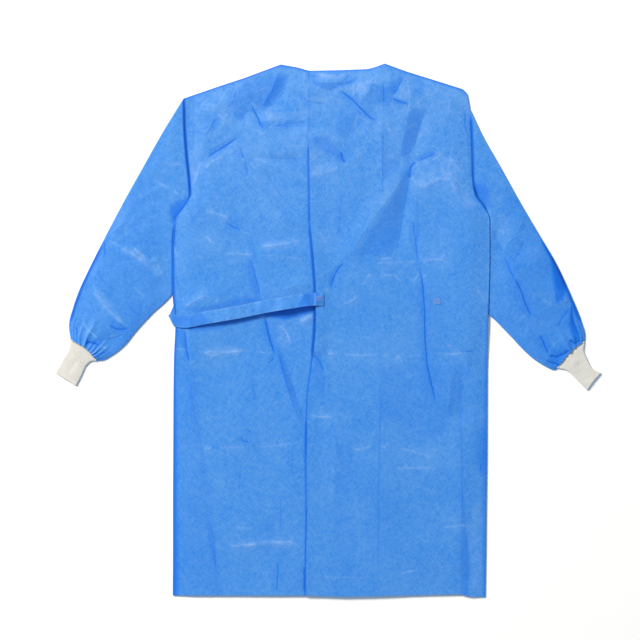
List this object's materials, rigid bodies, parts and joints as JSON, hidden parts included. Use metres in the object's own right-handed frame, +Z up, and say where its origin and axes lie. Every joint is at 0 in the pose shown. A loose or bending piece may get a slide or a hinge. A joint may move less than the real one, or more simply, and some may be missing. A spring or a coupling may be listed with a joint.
{
  "type": "surgical gown",
  "caption": "Disposable surgical gown laid flat with its back up: lapped back halves, set-in sleeves, white knitted cuffs and a waist tie.",
  "frame": {"origin": "on the surface it lies on, under the middle of the whole outline", "axes": "+Z up out of the surface; +Y towards the neck; +X towards the wearer's right side, which is to the right when the gown is seen from above"},
  "size_m": [1.231, 1.2034, 0.018],
  "materials": {
    "nonwoven": "light blue bonded non-woven cloth, faintly glossy",
    "knit": "off-white ribbed knit",
    "weld": "non-woven cloth pressed and melted by a weld"
  },
  "bodies": {
    "root": {"front_panel": "nonwoven", "back_left": "nonwoven", "back_right": "nonwoven", "sleeve_left": "nonwoven", "sleeve_right": "nonwoven", "cuff_left": "knit", "cuff_right": "knit", "waist_tie": "nonwoven", "tie_weld": "weld", "inner_tie_weld": "weld"}
  },
  "joints": []
}
